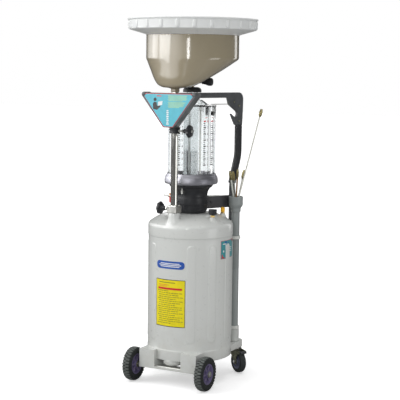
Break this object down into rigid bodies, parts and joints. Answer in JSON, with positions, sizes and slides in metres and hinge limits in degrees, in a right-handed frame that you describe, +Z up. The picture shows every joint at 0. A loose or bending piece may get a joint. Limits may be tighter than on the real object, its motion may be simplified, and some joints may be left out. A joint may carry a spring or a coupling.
{
  "type": "mobile oil drain pan",
  "caption": "Wheeled waste-oil drainer: raised catch bowl with splash ring on a sliding riser, clear measuring chamber on a tank, probe holder and tool tray.",
  "frame": {"origin": "on the ground under the tank axis", "axes": "+Z up along the tank axis, the front with the large wheels and the labels faces -Y, the probe holder is at +X"},
  "size_m": [0.58, 0.58, 1.621],
  "materials": {
    "painted_steel": "glossy light grey paint",
    "beige_enamel": "high-gloss beige enamel",
    "ring_plastic": "off-white moulded",
    "chrome": "polished",
    "zinc_steel": "zinc plated",
    "aluminium": "polished casting",
    "brass": "machined",
    "black_plastic": "black moulded",
    "dark_paint": "satin dark grey powder coat",
    "clear_plastic": "clear moulded",
    "tyre_rubber": "dull",
    "hub_plastic": "moulded",
    "grey_pipe": "extruded",
    "light_pipe": "moulded",
    "yellow_cap": "moulded",
    "red_handle": "dipped",
    "probe_nylon": "translucent tube with fitting",
    "probe_copper": "brown tube with fitting"
  },
  "bodies": {
    "frame": {"tank_shell": "painted_steel", "front_bracket": "painted_steel", "rear_bracket_left": "painted_steel", "rear_bracket_right": "painted_steel", "probe_clamp_upper": "ring_plastic", "probe_clamp_lower": "ring_plastic", "riser_clamp": "chrome", "front_axle": "zinc_steel", "air_nipple": "zinc_steel", "base_fitting": "zinc_steel", "chamber_brace": "zinc_steel", "chamber_flange": "aluminium", "valve_nut": "brass", "air_valve_body": "brass", "gauge_stem": "brass", "relief_valve": "brass", "chamber_base": "black_plastic", "valve_cap": "black_plastic", "clamp_arm": "black_plastic", "grip_sleeve": "black_plastic", "riser_collar": "black_plastic", "gauge_case": "black_plastic", "handle_arm": "dark_paint", "tool_tray": "dark_paint", "post": "dark_paint", "chamber_wall": "clear_plastic", "chamber_top": "clear_plastic", "probe_tube": "grey_pipe", "probe_cup": "grey_pipe", "probe_foot": "light_pipe"},
    "front_wheel_left": {"front_left_tyre": "tyre_rubber", "front_left_hub": "hub_plastic"},
    "front_wheel_right": {"front_right_tyre": "tyre_rubber", "front_right_hub": "hub_plastic"},
    "caster_swivel_left": {"caster_fork_left": "zinc_steel", "caster_axle_left": "zinc_steel"},
    "caster_swivel_right": {"caster_fork_right": "zinc_steel", "caster_axle_right": "zinc_steel"},
    "caster_wheel_left": {"caster_left_tyre": "tyre_rubber", "caster_left_hub": "hub_plastic"},
    "caster_wheel_right": {"caster_right_tyre": "tyre_rubber", "caster_right_hub": "hub_plastic"},
    "brake_left": {"caster_brake_left": "black_plastic"},
    "brake_right": {"caster_brake_right": "black_plastic"},
    "riser": {"riser_tube": "chrome"},
    "bowl": {"catch_bowl": "beige_enamel"},
    "ring": {"splash_ring": "ring_plastic"},
    "grid": {"strainer": "zinc_steel"},
    "top_valve": {"valve_lever": "zinc_steel", "lever_grip": "black_plastic"},
    "inlet_lever": {"air_valve_lever": "red_handle"},
    "clamp_knob": {"lower_knob": "black_plastic"},
    "collar_knob": {"upper_knob": "black_plastic"},
    "needle": {"gauge_needle": "red_handle"},
    "relief": {"relief_cap": "yellow_cap"},
    "probe_a": {"probe_clear": "probe_nylon"},
    "probe_b": {"probe_smoke": "probe_nylon"},
    "probe_c": {"probe_copper": "probe_copper"},
    "probe_d": {"probe_white": "probe_nylon"},
    "probe_e": {"probe_long": "probe_nylon"}
  },
  "joints": [
    {"name": "front_wheel_left_spin", "type": "hinge", "parent": "frame", "child": "front_wheel_left", "pos_m": [-0.182, -0.1865, 0.076], "axis": [1, 0, 0], "continuous": true},
    {"name": "front_wheel_right_spin", "type": "hinge", "parent": "frame", "child": "front_wheel_right", "pos_m": [0.182, -0.1865, 0.076], "axis": [1, 0, 0], "continuous": true},
    {"name": "caster_left_turn", "type": "hinge", "parent": "frame", "child": "caster_swivel_left", "pos_m": [-0.136, 0.196, 0.112], "axis": [0, 0, 1], "continuous": true},
    {"name": "caster_left_spin", "type": "hinge", "parent": "caster_swivel_left", "child": "caster_wheel_left", "pos_m": [-0.10648, 0.17719, 0.051], "axis": [0.5373, 0.8434, 0], "continuous": true},
    {"name": "brake_left_press", "type": "hinge", "parent": "caster_swivel_left", "child": "brake_left", "pos_m": [-0.08034, 0.16054, 0.1], "axis": [0.5373, 0.8434, 0], "range_deg": [0, 15]},
    {"name": "caster_right_turn", "type": "hinge", "parent": "frame", "child": "caster_swivel_right", "pos_m": [0.136, 0.196, 0.112], "axis": [0, 0, 1], "continuous": true},
    {"name": "caster_right_spin", "type": "hinge", "parent": "caster_swivel_right", "child": "caster_wheel_right", "pos_m": [0.16552, 0.17719, 0.051], "axis": [0.5373, 0.8434, 0], "continuous": true},
    {"name": "brake_right_press", "type": "hinge", "parent": "caster_swivel_right", "child": "brake_right", "pos_m": [0.19166, 0.16054, 0.1], "axis": [0.5373, 0.8434, 0], "range_deg": [0, 15]},
    {"name": "riser_lift", "type": "slide", "parent": "frame", "child": "riser", "axis": [0, 0, 1], "range_m": [0, 0.25]},
    {"name": "bowl_turn", "type": "hinge", "parent": "riser", "child": "bowl", "pos_m": [0, -0.155, 1.3], "axis": [0, 0, 1], "range_deg": [-90, 90]},
    {"name": "ring_lift_off", "type": "slide", "parent": "bowl", "child": "ring", "axis": [0, 0, 1], "range_m": [0, 0.08]},
    {"name": "strainer_lift_out", "type": "slide", "parent": "bowl", "child": "grid", "axis": [0, 0, 1], "range_m": [0, 0.15]},
    {"name": "top_valve_turn", "type": "hinge", "parent": "frame", "child": "top_valve", "pos_m": [0, 0, 1.337], "axis": [0, 0, 1], "range_deg": [0, 90]},
    {"name": "air_inlet_turn", "type": "hinge", "parent": "frame", "child": "inlet_lever", "pos_m": [-0.098, -0.0162, 0.828], "axis": [0, 1, 0], "range_deg": [0, 90]},
    {"name": "lower_knob_turn", "type": "hinge", "parent": "frame", "child": "clamp_knob", "pos_m": [-0.06, -0.155, 0.787], "axis": [1, 0, 0], "continuous": true},
    {"name": "upper_knob_turn", "type": "hinge", "parent": "frame", "child": "collar_knob", "pos_m": [0.06, -0.155, 1.133], "axis": [1, 0, 0], "continuous": true},
    {"name": "gauge_needle_turn", "type": "hinge", "parent": "frame", "child": "needle", "pos_m": [0.14, -0.054, 0.781], "axis": [0, 0, 1], "range_deg": [-135, 135]},
    {"name": "relief_cap_pull", "type": "slide", "parent": "frame", "child": "relief", "axis": [0, 0, 1], "range_m": [0, 0.004], "stiffness_N_per_m": 600, "springref_m": -0.001},
    {"name": "probe_a_draw", "type": "slide", "parent": "frame", "child": "probe_a", "axis": [0, 0, 1], "range_m": [0, 0.3]},
    {"name": "probe_b_draw", "type": "slide", "parent": "frame", "child": "probe_b", "axis": [0, 0, 1], "range_m": [0, 0.3]},
    {"name": "probe_c_draw", "type": "slide", "parent": "frame", "child": "probe_c", "axis": [0, 0, 1], "range_m": [0, 0.3]},
    {"name": "probe_d_draw", "type": "slide", "parent": "frame", "child": "probe_d", "axis": [0, 0, 1], "range_m": [0, 0.3]},
    {"name": "probe_e_draw", "type": "slide", "parent": "frame", "child": "probe_e", "axis": [0, 0, 1], "range_m": [0, 0.3]}
  ]
}
